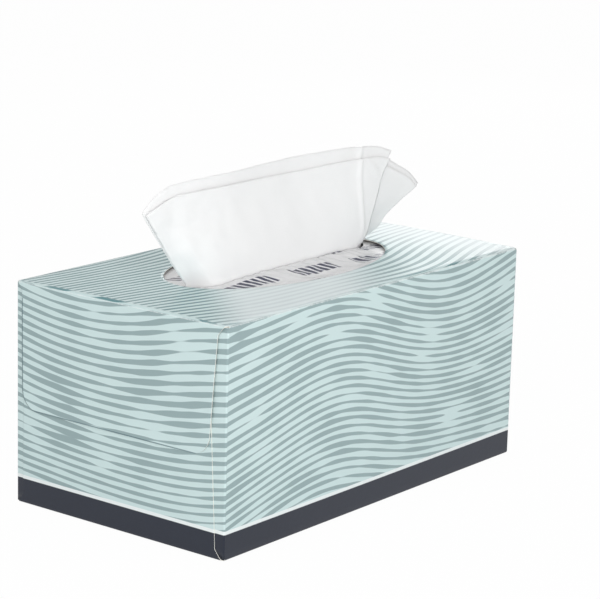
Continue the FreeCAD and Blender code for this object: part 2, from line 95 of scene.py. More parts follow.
class CartonSettings(bpy.types.PropertyGroup):
    board: length_setting("Board", "Thickness of the board", 0.45, 0.1, 2)
    fold_radius: length_setting("Fold radius", "Outer radius of the folds", 0.9, 0.3, 5)
    crown: length_setting("Crown", "Rise of the middle of the top panel", 1.0, 0, 5)
    bulge: length_setting("Bulge", "How far the long sides swell", 0.5, 0, 5)
    opening_length: length_setting("Opening length", "Long axis of the oval", 154, 50, 200)
    opening_width: length_setting("Opening width", "Short axis of the oval", 80, 20, 110)
    upper_flap: length_setting("Upper flap", "How far the upper end flap hangs down", 65, 20, 110)
    lower_flap: length_setting("Lower flap", "How far the lower end flap stands up", 82, 20, 110)
    dust_flap: length_setting("Dust flap", "How far the side flaps reach in", 60, 10, 65)
    band: length_setting("Band height", "Height of the dark band at the foot", 13, 0, 60)
    line: length_setting("Line height", "Height of the pale line over the band", 1.8, 0, 10)
    pitch: length_setting("Stripe pitch", "Distance between stripes on the sides", 4.3, 1, 30)
    top_pitch: length_setting("Top stripe pitch", "Distance between stripes on top", 5.0, 1, 30)
    ground_colour: colour_setting("Ground", "Pale ground of the print", colour(206, 226, 225))
    stripe_colour: colour_setting("Stripes", "Stripes on the sides", colour(150, 171, 173))
    top_stripe_colour: colour_setting("Top stripes", "Stripes on the top", colour(98, 140, 145))
    band_colour: colour_setting("Band", "Dark band at the foot", colour(31, 37, 51))
    line_colour: colour_setting("Line", "Pale line over the band", colour(238, 244, 244))
    # The edge shadow colour is painted shadow: a dark line along the upper end flaps' cut edges,
    # standing in for the shade under their raised edges.
    edge_shadow_colour: colour_setting("Edge shadow", "Shaded line along the flap's cut", colour(84, 110, 118))
    inside_colour: colour_setting("Inside", "Bare board inside", colour(196, 190, 178))
    edge_colour: colour_setting("Cut edge", "Cut edges of the board", colour(240, 238, 230))


class FilmSettings(bpy.types.PropertyGroup):
    thickness: length_setting("Thickness", "Thickness of the film", 0.08, 0.01, 1)
    slit_length: length_setting("Slit length", "Length of the slit", 148, 20, 200)
    rise: length_setting("Lip rise", "How far the lips stand up", 2.4, 0, 10)
    crinkle: length_setting("Crinkle", "Height of the fine creases", 0.35, 0, 3)
    film_colour: colour_setting("Film", "Colour of the film", colour(244, 244, 245))
    mark_colour: colour_setting("Marks", "Colour of the printed strokes", colour(12, 20, 66))


class TissueSettings(bpy.types.PropertyGroup):
    thickness: length_setting("Thickness", "Thickness of the two soft plies", 0.28, 0.05, 2)
    pleat: length_setting("Pleat", "Overlap of the pleat on the right", 6, 0, 20)
    crease: length_setting("Crease", "Height of the soft creases", 0.75, 0, 5)
    tissue_colour: colour_setting("Tissue", "Colour of the raised sheet", colour(252, 252, 252))
    stack_colour: colour_setting("Stack", "Colour of the folded stack", colour(240, 240, 238))
    seed: IntProperty(name="Seed", description="Changes the creases", default=7, min=0)


class StageSettings(bpy.types.PropertyGroup):
    light: FloatProperty(name="Light", description="Strength of all lamps", default=1.0, min=0)
    floor_colour: colour_setting("Floor", "Colour of the floor", (0.9, 0.9, 0.9, 1))


# Meshes

class Surface:
    """Grids of faces that are joined where their edges meet."""

    def __init__(self):
        self.points = []
        self.faces = []
        self.flat = []
        self.from_cut = []

    def grid(self, points, flat, outward, from_cut=None):
        """Adds rows of points, with their places on the flat sheet, facing outward.

        from_cut holds each point's distance from a flap's cut edge, and is 1 where it isn't given.
        """
        rows, columns = len(points), len(points[0])
        middle_row, middle_column = (rows - 1) // 2, (columns - 1) // 2
        corner = Vector(points[middle_row][middle_column])
        down = Vector(points[middle_row + 1][middle_column]) - corner
        along = Vector(points[middle_row][middle_column + 1]) - corner
        turned = down.cross(along).dot(Vector(outward)) < 0
        start = len(self.points)
        for row in points:
            self.points.extend(tuple(point) for point in row)
        for row in flat:
            self.flat.extend(row)
        for row in from_cut or [[1.0] * columns] * rows:
            self.from_cut.extend(row)
        for row in range(rows - 1):
            for column in range(columns - 1):
                first = start + row * columns + column
                face = [first, first + columns, first + columns + 1, first + 1]
                self.faces.append(face[::-1] if turned else face)

    def build(self, name, join=1e-5):
        mesh = bpy.data.meshes.new(name)
        mesh.from_pydata(self.points, [], self.faces)
        layer = mesh.uv_layers.new(name="flat_sheet")
        for loop in mesh.loops:
            layer.data[loop.index].uv = self.flat[loop.vertex_index]
        distance = mesh.attributes.new("from_cut", "FLOAT", "POINT")
        distance.data.foreach_set("value", self.from_cut)
        work = bmesh.new()
        work.from_mesh(mesh)
        bmesh.ops.remove_doubles(work, verts=work.verts, dist=join)
        work.to_mesh(mesh)
        work.free()
        mesh.shade_smooth()
        piece = bpy.data.objects.new(name, mesh)
        bpy.context.scene.collection.objects.link(piece)
        return piece


def give_thickness(piece, thickness, offset, inside=0, rim=0):
    modifier = piece.modifiers.new("thickness", "SOLIDIFY")
    modifier.thickness = thickness
    modifier.offset = offset
    modifier.material_offset = inside
    modifier.material_offset_rim = rim
    return modifier


def finish_piece(piece, node):
    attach(piece, "root")
    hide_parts(node)
    return piece


def ease(share):
    share = min(max(share, 0.0), 1.0)
    return share * share * (3 - 2 * share)


def mix(low, high, share):
    return low + (high - low) * share


def spaced(low, high, count):
    return [float(value) for value in np.linspace(low, high, count)]


def graded(low, high, count):
    """Places from low to high that stand closer near both ends."""
    return [mix(low, high, 0.5 - 0.5 * math.cos(math.pi * share)) for share in spaced(0, 1, count)]


def noise_at(seed, first, second):
    return noise.noise(Vector((first + 17.3 * seed, second - 9.1 * seed, 0)))


def scaled(tint, factor):
    """A paler or darker colour, opaque and at most white."""
    return tuple(min(1.0, part * factor) for part in tint[:3]) + (1.0,)


# Material nodes

class Nodes:
    """A material and short ways to add and join its nodes."""

    def __init__(self, name):
        self.material = bpy.data.materials.new(name)
        self.material.use_nodes = True
        self.tree = self.material.node_tree
        self.tree.nodes.clear()
        self.output = self.tree.nodes.new("ShaderNodeOutputMaterial")

    def add(self, kind, **settings):
        node = self.tree.nodes.new(f"ShaderNode{kind}")
        for key, value in settings.items():
            setattr(node, key, value)
        return node

    def link(self, source, target):
        if isinstance(source, (int, float, tuple)):
            target.default_value = source
        else:
            self.tree.links.new(source, target)

    def math(self, operation, first, second=0.0, third=0.0):
        node = self.add("Math", operation=operation)
        for socket, value in zip(node.inputs, (first, second, third)):
            self.link(value, socket)
        return node.outputs[0]

    def flat_place(self):
        """Places along and across the flat sheet, in millimetres."""
        uv = self.add("UVMap", uv_map="flat_sheet")
        parts = self.add("SeparateXYZ")
        self.link(uv.outputs[0], parts.inputs[0])
        return [self.math("MULTIPLY", parts.outputs[axis], 1000.0) for axis in (0, 1)]

    def at(self, along, across):
        node = self.add("CombineXYZ")
        for socket, value in zip(node.inputs, (along, across)):
            self.link(value, socket)
        return node.outputs[0]

    def noise(self, place, scale, detail=2.0, roughness=0.5):
        node = self.add("TexNoise")
        self.link(place, node.inputs["Vector"])
        node.inputs["Scale"].default_value = scale
        node.inputs["Detail"].default_value = detail
        node.inputs["Roughness"].default_value = roughness
        return node.outputs["Fac"]

    def wave(self, along, length, shift=0.0):
        turn = self.math("MULTIPLY_ADD", along, 2 * math.pi / length, shift)
        return self.math("SINE", turn)

    def step(self, value, low, high):
        """0 at low and 1 at high, also where high is the lower number."""
        node = self.add("MapRange", interpolation_type="SMOOTHSTEP")
        self.link(value, node.inputs["Value"])
        node.inputs["From Min"].default_value = low
        node.inputs["From Max"].default_value = high
        return node.outputs["Result"]

    def blend(self, share, first, second):
        node = self.add("Mix", data_type="RGBA")
        self.link(share, node.inputs["Factor"])
        self.link(first, node.inputs[6])
        self.link(second, node.inputs[7])
        return node.outputs[2]

    def bump(self, height, distance, strength=1.0, under=None):
        node = self.add("Bump")
        self.link(height, node.inputs["Height"])
        node.inputs["Distance"].default_value = distance
        node.inputs["Strength"].default_value = strength
        if under is not None:
            self.link(under, node.inputs["Normal"])
        return node.outputs["Normal"]

    def surface(self, base, **sockets):
        shader = self.add("BsdfPrincipled")
        self.link(base, shader.inputs["Base Color"])
        for name, value in sockets.items():
            self.link(value, shader.inputs[name.replace("_", " ")])
        self.link(shader.outputs[0], self.output.inputs["Surface"])
        return self.material


# Print. Places are in millimetres on the flat blank.
# Each wave of the stripes: its length, its height in stripes, its lean and its shift.

SIDE_WAVES = ((290.0, 2.3, 0.30, 5.6), (170.0, 0.4, -0.4, 0.9))
TOP_WAVES = ((330.0, 2.0, 0.3, 1.0), (170.0, 0.5, -0.3, 0.2))
SIDE_SWELL, SIDE_SOFT = 2.1, 0.14
TOP_SWELL, TOP_SOFT = 0.5, 0.16
# Painted highlight on the top: the ramps that pale it beside the opening, where the raised tissue
# is reflected, and towards the right end, where the glare falls, and the pale colour it takes.
NEAR_SHEEN_IN, NEAR_SHEEN_OUT = (-138, -104), (20, -45)
FAR_SHEEN = (60, 118)
TOP_SHEEN_COLOUR = colour(238, 246, 247)
GROUND_DRIFT = colour(206, 226, 227)
LINE_SOFT = 0.12
# Width of the painted shadow line along the upper flaps' cut edges, in millimetres from the cut.
EDGE_SHADOW_WIDTH = (0.75, 0.35)


def stripe_field(nodes, along, across, pitch, waves, swell, soft):
    """Wavy stripes: 1 on a stripe and 0 on the ground, wider and narrower in places."""
    phase = nodes.math("MULTIPLY", across, 1 / pitch)
    for length, height, lean, shift in waves:
        slid = nodes.math("MULTIPLY_ADD", across, lean, along)
        phase = nodes.math("MULTIPLY_ADD", nodes.wave(slid, length, shift), height, phase)
    drift = nodes.noise(nodes.at(along, across), 0.009, 0.0)
    phase = nodes.math("MULTIPLY_ADD", drift, 4.0, phase)
    crest = nodes.math("SINE", nodes.math("MULTIPLY", phase, 2 * math.pi))
    long_place = nodes.at(nodes.math("MULTIPLY", along, 0.5), nodes.math("MULTIPLY", phase, pitch))
    width = nodes.noise(long_place, 0.075, 1.0)
    level = nodes.math("MULTIPLY_ADD", width, -2 * swell, 0.16 + swell)
    over = nodes.math("SUBTRACT", crest, level)
    return nodes.step(over, -soft, soft)


def fold_wear_and_highlight(nodes, along, height):
    """Where the print is rubbed pale, with a painted highlight where the folds catch the light:
    narrow uneven lines on the folds.
    """
    end = LENGTH / 2 / MM - 1.2
    from_end = nodes.math("ABSOLUTE", nodes.math("SUBTRACT", nodes.math("ABSOLUTE", along), end))
    from_top = nodes.math("ABSOLUTE", nodes.math("SUBTRACT", height, HEIGHT / MM - 0.3))
    nearest = nodes.math("MINIMUM", from_end, nodes.math("MULTIPLY", from_top, 1.3))
    wear_and_highlight_noise = nodes.noise(nodes.at(along, height), 0.35, 4.0, 0.7)
    reach = nodes.math("MULTIPLY_ADD", wear_and_highlight_noise, 1.5, -0.25)
    return nodes.math("MULTIPLY", nodes.step(nodes.math("SUBTRACT", reach, nearest), 0.0, 0.7), 0.7)


def painted_top_sheen(nodes, along, height):
    """How far the top is painted paler, as painted reflection and highlight: beside the opening,
    where the raised tissue is mirrored, and towards the right end, where the glare lies.
    """
    slant = nodes.math("SUBTRACT", along, nodes.math("SUBTRACT", height, HEIGHT / MM))
    fade_in, fade_out = nodes.step(slant, *NEAR_SHEEN_IN), nodes.step(slant, *NEAR_SHEEN_OUT)
    near = nodes.math("MULTIPLY", fade_in, fade_out)
    far = nodes.math("MULTIPLY", nodes.step(along, *FAR_SHEEN), 0.85)
    return nodes.math("MULTIPLY", nodes.math("MAXIMUM", near, far), 0.75)


def foot_print(nodes, settings, height, printed):
    """Adds the pale line and the dark band at the foot."""
    line_top = settings.band + settings.line
    levels = ((line_top, settings.line_colour), (settings.band, settings.band_colour))
    for level, tint in levels:
        above = nodes.step(height, level / MM - LINE_SOFT, level / MM + LINE_SOFT)
        printed = nodes.blend(above, tuple(tint), printed)
    return printed


# The board's print, with painted reflection and highlight on the top and a painted shadow line
# along the upper flaps' cut edges.
def print_material(settings):
    nodes = Nodes("printed_board")
    along, height = nodes.flat_place()
    place = nodes.at(along, height)
    side_pitch, top_pitch = settings.pitch / MM, settings.top_pitch / MM
    side = stripe_field(nodes, along, height, side_pitch, SIDE_WAVES, SIDE_SWELL, SIDE_SOFT)
    top = stripe_field(nodes, along, height, top_pitch, TOP_WAVES, TOP_SWELL, TOP_SOFT)
    on_top = nodes.step(height, HEIGHT / MM - 0.4, HEIGHT / MM + 0.4)
    stripes = nodes.math("MULTIPLY_ADD", nodes.math("SUBTRACT", top, side), on_top, side)
    tone = nodes.noise(place, 0.02, 2.0)
    ground = nodes.blend(tone, tuple(settings.ground_colour), GROUND_DRIFT)
    stripe_tones = tuple(settings.stripe_colour), tuple(settings.top_stripe_colour)
    printed = nodes.blend(stripes, ground, nodes.blend(on_top, *stripe_tones))
    # Painted reflection and highlight: the top is paled beside the opening and towards its right
    # end.
    top_sheen = nodes.math("MULTIPLY", painted_top_sheen(nodes, along, height), on_top)
    printed = nodes.blend(top_sheen, printed, TOP_SHEEN_COLOUR)
    printed = foot_print(nodes, settings, height, printed)
    # Pale lines on the folds: rubbed print, and a painted highlight along the fold edges.
    printed = nodes.blend(fold_wear_and_highlight(nodes, along, height), printed, tuple(settings.line_colour))
    # Painted shadow: a dark line along the upper end flaps' cut edges, where their raised edges
    # throw shade.
    from_cut = nodes.add("Attribute", attribute_name="from_cut").outputs["Fac"]
    edge_shadow = nodes.step(nodes.math("MULTIPLY", from_cut, 1 / MM), *EDGE_SHADOW_WIDTH)
    printed = nodes.blend(nodes.math("MULTIPLY", edge_shadow, 0.8), printed, tuple(settings.edge_shadow_colour))
    grain = nodes.noise(place, 0.9, 4.0, 0.6)
    roughness = nodes.math("MULTIPLY_ADD", grain, 0.14, 0.27)
    normal = nodes.bump(nodes.noise(place, 0.35, 5.0, 0.55), 0.00004)
    return nodes.surface(printed, Roughness=roughness, Normal=normal, Specular_IOR_Level=0.36)


def board_material(name, tint):
    """Bare board: short fibres in a warm grey."""
    nodes = Nodes(name)
    along, height = nodes.flat_place()
    fibre_place = nodes.at(nodes.math("MULTIPLY", along, 0.3), height)
    fibres = nodes.noise(fibre_place, 1.6, 5.0, 0.7)
    return nodes.surface(
        nodes.blend(fibres, tuple(tint), scaled(tint, 1.12)), Roughness=0.85,
        Normal=nodes.bump(fibres, 0.00006),
    )


def tissue_material(name, tint):
    """Soft crepe: fine cross ripples, fibres and a faint cloudiness."""
    nodes = Nodes(name)
    along, across = nodes.flat_place()
    ripple = nodes.noise(nodes.at(nodes.math("MULTIPLY", along, 0.35), across), 1.5, 3.0, 0.6)
    fibres = nodes.noise(nodes.at(along, across), 3.2, 4.0, 0.7)
    cloud = nodes.noise(nodes.at(along, across), 0.09, 3.0)
    shade = nodes.math("MULTIPLY_ADD", fibres, 0.5, nodes.math("MULTIPLY", cloud, 0.5))
    normal = nodes.bump(ripple, 0.00010, 0.7, nodes.bump(fibres, 0.00005, 0.6))
    return nodes.surface(
        nodes.blend(shade, scaled(tint, 0.95), tuple(tint)), Roughness=0.95, Normal=normal,
        Specular_IOR_Level=0.15, Sheen_Weight=0.15, Sheen_Roughness=0.6,
    )


# Carton

SHOULDER = 5 * MM
FREE_CORNER = 10 * MM
FOLD_INSET = 1.5 * MM
FLAP_INSETS = {-1: (5.5 * MM, 4.5 * MM), 1: (4.4 * MM, 1.0 * MM)}
FLAP_LIFT = 0.6 * MM
FLAP_BOW = 0.4 * MM
CROWN_FADE = 30 * MM
DUST_TAPER = 0.12
BOTTOM_PLACE = -20 * MM


class Blank:
    """Where the folded blank's panels lie, from the settings."""

    def __init__(self, settings):
        self.settings = settings
        self.radius = settings.fold_radius
        self.side_end = LENGTH / 2 - 2 * settings.board
        self.lower_end = LENGTH / 2 - settings.board
        self.upper_end = LENGTH / 2
        self.edge = self.side_end - self.radius
        self.half_width = WIDTH / 2
        self.stations = graded(-self.edge, self.edge, 73)
        self.top_rows = graded(-self.half_width + self.radius, self.half_width - self.radius, 37)

    def crown(self, across):
        return self.settings.crown * (1 - min(1.0, abs(across) / self.half_width) ** 2)

    def swell(self, along, height):
        """Outward bulge of a long side, none at its folds."""
        share = math.sin(math.pi * min(max(height / HEIGHT, 0), 1))
        return self.settings.bulge * share * (1 - (along / self.edge) ** 2)


def corner_arc(count=6):
    return spaced(0, math.pi / 2, count)


def tube_profile(blank):
    """Points round the front, bottom and back as (across, height, place on the flat sheet)."""
    radius, half = blank.radius, blank.half_width
    front = []
    for angle in corner_arc():
        across = -half + radius - radius * math.sin(angle)
        height = HEIGHT - radius + radius * math.cos(angle)
        front.append((across, height, HEIGHT + radius * (0.2 - angle * 0.6)))
    front += [(-half, height, height) for height in spaced(HEIGHT - radius, radius, 40)[1:-1]]
    for angle in corner_arc():
        across = -half + radius - radius * math.cos(angle)
        front.append((across, radius - radius * math.sin(angle), radius - radius * angle))
    bottom = [(across, 0.0, BOTTOM_PLACE) for across in spaced(-half + radius, half - radius, 16)]
    back = [(-across, height, flat) for across, height, flat in front[::-1]]
    return front, bottom, back


def long_side(surface, blank, profile, facing):
    rows = []
    flat = []
    for along in blank.stations:
        row = []
        for across, height, _ in profile:
            out = blank.swell(along, height) if abs(abs(across) - blank.half_width) < 1e-6 else 0.0
            row.append((along, across + math.copysign(out, across), height))
        rows.append(row)
        start = along if facing < 0 else LENGTH + WIDTH - along
        flat.append([(start, place) for _, _, place in profile])
    surface.grid(rows, flat, (0, facing, 0))


def bottom_panel(surface, blank, profile):
    rows = [[(along, across, height) for across, height, _ in profile] for along in blank.stations]
    flat = [[(along, place) for _, _, place in profile] for along in blank.stations]
    surface.grid(rows, flat, (0, 0, -1))


def top_point(blank, share, edge_along, edge_across):
    """A point of the top, share of the way from the oval's edge to a fold."""
    settings = blank.settings
    turn = math.atan2(edge_across / blank.top_rows[-1], edge_along / blank.edge)
    along = mix(settings.opening_length / 2 * math.cos(turn), edge_along, share)
    across = mix(settings.opening_width / 2 * math.sin(turn), edge_across, share)
    return (along, across, HEIGHT + blank.crown(across))


def top_panel(surface, blank):
    """A ring of faces between the oval opening and the panel's four folds."""
    low, high = blank.top_rows[0], blank.top_rows[-1]
    loop = [(along, low) for along in blank.stations[:-1]]
    loop += [(blank.edge, across) for across in blank.top_rows[:-1]]
    loop += [(along, high) for along in blank.stations[:0:-1]]
    loop += [(-blank.edge, across) for across in blank.top_rows[:0:-1]]
    loop.append(loop[0])
    rows = []
    flat = []
    for share in [value ** 1.3 for value in spaced(0, 1, 14)]:
        row = [top_point(blank, share, *edge) for edge in loop]
        rows.append(row)
        flat.append([(point[0], HEIGHT + 0.003 + point[1] + blank.half_width) for point in row])
    surface.grid(rows, flat, (0, 0, 1))


def flap_rows(blank, end, reach):
    """The way of an end flap, as the distance past the panel's edge and the drop at each row."""
    radius = blank.radius
    fold = end - blank.edge - radius
    rows = [(0.0, 0.0)]
    if end > blank.side_end:
        rows.append((end - blank.side_end, 0.0))
    for angle in corner_arc()[1:]:
        rows.append((fold + radius * math.sin(angle), radius - radius * math.cos(angle)))
    rows += [(end - blank.edge, drop) for drop in spaced(radius, SHOULDER, 6)[1:]]
    rows += [(end - blank.edge, drop) for drop in spaced(SHOULDER, reach - FREE_CORNER, 16)[1:]]
    for angle in corner_arc(12)[1:]:
        rows.append((end - blank.edge, reach - FREE_CORNER + FREE_CORNER * math.sin(angle)))
    return rows


def flap_edge(blank, side, drop, reach):
    """Where a flap's edge runs on one side, at one drop."""
    shoulder, taper = FLAP_INSETS[side]
    if drop <= 0:
        inset = blank.radius
    elif drop < SHOULDER:
        inset = mix(FOLD_INSET, shoulder, drop / SHOULDER)
    else:
        inset = shoulder + taper * (drop - SHOULDER) / (reach - SHOULDER)
    past = max(0.0, drop - (reach - FREE_CORNER))
    inset += FREE_CORNER - math.sqrt(max(0.0, FREE_CORNER ** 2 - past ** 2))
    return side * (blank.half_width - inset)


def end_flap(surface, blank, sign, end, reach, lift, top):
    """An upper or lower end flap that folds over the end."""
    limit = blank.half_width - blank.radius
    rows = []
    flat = []
    from_cut = []
    for out, drop in flap_rows(blank, end, reach):
        low, high = (flap_edge(blank, side, drop, reach) for side in (-1, 1))
        places = [mix(low, high, 0.5 + 0.5 * across / limit) for across in blank.top_rows]
        fade = ease(1 - drop / CROWN_FADE) if top else 0.0
        bow = FLAP_BOW * math.sin(math.pi * drop / reach) if top else 0.0
        row = []
        flat_row = []
        for place in places:
            raised = lift * (drop / reach) ** 3 * (1 + 0.6 * place / blank.half_width)
            height = HEIGHT - drop + blank.crown(place) * fade if top else drop
            row.append((sign * (blank.edge + out + raised + bow), place, height))
            along = sign * LENGTH / 2 + sign * (place + blank.half_width)
            if drop > blank.radius:
                flat_height = max(height, BOTTOM_PLACE)
            else:
                flat_height = height if top else height + BOTTOM_PLACE
            flat_row.append((along, flat_height))
        rows.append(row)
        flat.append(flat_row)
        if drop > SHOULDER:
            from_cut.append([min(high - place, reach - drop) for place in places])
        else:
            from_cut.append([1.0] * len(places))
    surface.grid(rows, flat, (sign, 0, 0.3 if top else -0.3), from_cut if top else None)


def dust_flap(surface, blank, sign, side):
    """A side flap folded in from a long side, behind the end flaps."""
    radius = blank.radius
    reach = blank.settings.dust_flap
    way = [(radius * math.sin(angle), radius - radius * math.cos(angle)) for angle in corner_arc()]
    way += [(radius, depth) for depth in spaced(radius, reach, 12)[1:]]
    rows = []
    flat = []
    for out, depth in way:
        rounding = radius - math.sqrt(max(0.0, radius ** 2 - max(0.0, radius - depth) ** 2))
        margin = max(rounding, 0.55 * MM) + DUST_TAPER * max(0.0, depth - 3 * MM)
        row = []
        flat_row = []
        for place in spaced(margin, HEIGHT - margin, 24):
            row.append((sign * (blank.edge + out), side * (blank.half_width - depth), place))
            along = -LENGTH / 2 - depth if side < 0 else -LENGTH / 2 - WIDTH + depth
            flat_row.append((along, place))
        rows.append(row)
        flat.append(flat_row)
    surface.grid(rows, flat, (sign, 0.3 * side, 0))


class TISSUEBOX_OT_carton(bpy.types.Operator):
    """Build the folded and printed carton as one sheet of board"""

    bl_idname = "tissuebox.carton"
    bl_label = "Carton"

    def execute(self, context):
        settings = context.scene.tissue_box_carton
        blank = Blank(settings)
        surface = Surface()
        front, bottom, back = tube_profile(blank)
        long_side(surface, blank, front, -1)
        long_side(surface, blank, back, 1)
        bottom_panel(surface, blank, bottom)
        top_panel(surface, blank)
        for sign in (-1, 1):
            upper = (blank.upper_end, settings.upper_flap, FLAP_LIFT, True)
            lower = (blank.lower_end, settings.lower_flap, 0.0, False)
            for flap in (upper, lower):
                end_flap(surface, blank, sign, *flap)
            for side in (-1, 1):
                dust_flap(surface, blank, sign, side)
        piece = surface.build("folded_carton")
        piece.data.materials.append(print_material(settings))
        piece.data.materials.append(board_material("bare_board", settings.inside_colour))
        piece.data.materials.append(board_material("cut_board_edge", settings.edge_colour))
        give_thickness(piece, settings.board, -1, inside=1, rim=2)
        finish_piece(piece, "carton")
        return {"FINISHED"}


# Film

FILM_HALF_LENGTH = 88 * MM
FILM_HALF_WIDTH = 50 * MM
FREE_HALF_LENGTH = 75 * MM
FREE_HALF_WIDTH = 38 * MM
FOLD_HEIGHT = 1.6 * MM
FOLD_SPACING = 9 * MM
ROW_PITCH, ROW_SHIFT = 17.0, 20.56
STROKE_PITCH = 4.6
GROUP_LENGTH = 48


def slit_swell(along, half_length):
    return max(0.0, 1 - abs(along / half_length) ** 8)


def front_lip(along, half_length):
    return -(0.0112 - 0.032 * along) * slit_swell(along, half_length)


def back_lip(along, half_length):
    return 0.0046 * slit_swell(along, half_length)


def film_rim(along):
    """Half the film's depth at one place along it."""
    return FILM_HALF_WIDTH * max(0.0, 1 - (abs(along) / FILM_HALF_LENGTH) ** 2.6) ** (1 / 2.6)


def film_half(surface, settings, side):
    half_slit = settings.slit_length / 2
    rows = []
    flat = []
    for along in graded(-FILM_HALF_LENGTH, FILM_HALF_LENGTH, 181):
        lip = (front_lip if side < 0 else back_lip)(along, half_slit)
        rim = side * max(film_rim(along), abs(lip) + 1e-5)
        row = []
        flat_row = []
        for share in [value ** 1.5 for value in spaced(0, 1, 40)]:
            across = mix(lip, rim, share)
            row.append((along, across, film_level(settings, along, across, lip, half_slit)))
            flat_row.append((along, across))
        rows.append(row)
        flat.append(flat_row)
    surface.grid(rows, flat, (0, 0, 1))


def film_level(settings, along, across, lip, half_slit):
    """Height of the film: flat where glued, lifted and crinkled towards the slit."""
    ring = math.hypot(along / FREE_HALF_LENGTH, across / FREE_HALF_WIDTH)
    free = ease((1.0 - ring) / 0.35)
    away = max(0.0, abs(across - lip)) / 0.022
    lift = settings.rise * ease(1 - away) * (1 - min(1.0, abs(along / half_slit)) ** 4)
    pulled = ease((along - 0.02) / 0.04)
    turn = along * 2 * math.pi / FOLD_SPACING + across * 190
    turn += 2.5 * noise_at(8, along * 60, across * 60)
    folds = FOLD_HEIGHT * pulled * (1 - 2 * abs(math.sin(turn / 2)) ** 0.7) * ease(away * 2.5)
    folds += 0.4 * MM * math.sin(along * 2 * math.pi / 0.034 + across * 90 + 1.3) * ease(away * 2)
    fine = settings.crinkle * noise_at(3, along * 230, across * 150) * 1.6
    fine += settings.crinkle * abs(noise_at(5, along * 90 + across * 60, across * 120)) * 2.0
    sag = -1.2 * MM * free * ease(away - 0.2)
    return FILM_LEVEL + free * (lift + folds + fine) + sag


def stroke_marks(nodes, along, across):
    """Slanted printed strokes: 1 on a stroke, in uneven groups that stand in rows."""
    slanted = nodes.math("MULTIPLY_ADD", across, 0.45, along)
    warp = nodes.noise(nodes.at(along, across), 0.12, 2.0)
    line_place = nodes.math("MULTIPLY_ADD", along, 0.05, across)
    line_place = nodes.math("MULTIPLY_ADD", warp, 2.0, line_place)
    row_place = nodes.math("MULTIPLY_ADD", line_place, 1 / ROW_PITCH, ROW_SHIFT)
    row, row_number = nodes.math("FRACT", row_place), nodes.math("FLOOR", row_place)
    in_row = nodes.math("MULTIPLY", nodes.step(row, 0.03, 0.07), nodes.step(row, 0.54, 0.50))
    strokes = nodes.math("SINE", nodes.math("MULTIPLY", slanted, 2 * math.pi / STROKE_PITCH))
    group_place = nodes.at(slanted, nodes.math("MULTIPLY", row_number, 37.0))
    group_turn = nodes.math("MULTIPLY_ADD", row_number, 2.4, 0.96)
    group_turn = nodes.math("MULTIPLY_ADD", slanted, 2 * math.pi / GROUP_LENGTH, group_turn)
    groups = nodes.step(nodes.math("SINE", group_turn), -0.5, -0.4)
    uneven = nodes.math("MULTIPLY_ADD", nodes.noise(group_place, 0.6, 0.0), -1.4, 0.22)
    over = nodes.math("SUBTRACT", strokes, uneven)
    mark = nodes.math("MULTIPLY", nodes.step(over, -0.08, 0.08), in_row)
    return nodes.math("MULTIPLY", mark, groups)


def film_material(settings):
    nodes = Nodes("clear_film")
    along, across = nodes.flat_place()
    mark = stroke_marks(nodes, along, across)
    streak_place = nodes.at(along, nodes.math("MULTIPLY", across, 2.5))
    streak = nodes.noise(streak_place, 0.25, 4.0, 0.65)
    clear = tuple(settings.film_colour)
    tint = nodes.blend(streak, scaled(settings.film_colour, 0.92), clear)
    base = nodes.blend(mark, tint, tuple(settings.mark_colour))
    alpha = nodes.math("MULTIPLY_ADD", mark, 0.1, 0.88)
    normal = nodes.bump(nodes.noise(nodes.at(along, across), 0.5, 4.0, 0.6), 0.00025, 0.6)
    return nodes.surface(base, Alpha=alpha, Roughness=0.2, Normal=normal, Specular_IOR_Level=0.5)


class TISSUEBOX_OT_film(bpy.types.Operator):
    """Build the slit plastic film under the oval opening"""

    bl_idname = "tissuebox.film"
    bl_label = "Film"

    def execute(self, context):
        settings = context.scene.tissue_box_film
        surface = Surface()
        film_half(surface, settings, -1)
        film_half(surface, settings, 1)
        piece = surface.build("slit_film")
        piece.data.materials.append(film_material(settings))
        give_thickness(piece, settings.thickness, -1)
        finish_piece(piece, "film")
        return {"FINISHED"}


# Raised tissue

# The upper edges of both leaves as (along, height) in millimetres, and the sheet below the slit.

BACK_EDGE = [
    (-103.8, 155.5), (-102.4, 158.2), (-96.5, 163.2), (-86.9, 167.3), (-69.5, 168.5),
    (-24.0, 168.6), (16.6, 168.9), (59.0, 168.7), (84.0, 166.9), (106.0, 159.5),
    (131.0, 147.6), (140.0, 140.0),
]
FRONT_EDGE = [
    (-102.6, 154.6), (-99.5, 156.7), (-88.6, 160.7), (-81.6, 162.3), (-63.0, 162.8),
    (-24.0, 162.2), (17.0, 161.3), (60.0, 161.9), (84.0, 161.4), (104.0, 156.0),
    (128.0, 145.8), (136.5, 139.2),
]
LEAF_ROOT = HEIGHT + 1.2 * MM
REST = STACK_HIGH.z + 0.3 * MM
HALF_SLIT = 74 * MM
LIP_ROOM = 0.7 * MM
GATHERED_LEFT, GATHERED_RIGHT = 73.3 * MM, 70.8 * MM
LAID_REACH = 49.5 * MM
LAID_HALF_WIDTH = 113.5 * MM
LAYER_GAP, LAYER_BEND = 1.6 * MM, 1.2 * MM
SHEET_HALF_WIDTH = 114.5 * MM
PLEAT_BEND, PLEAT_STEP = 1.2 * MM, 1.1 * MM
CREASE_WIDTH = 1.6 * MM


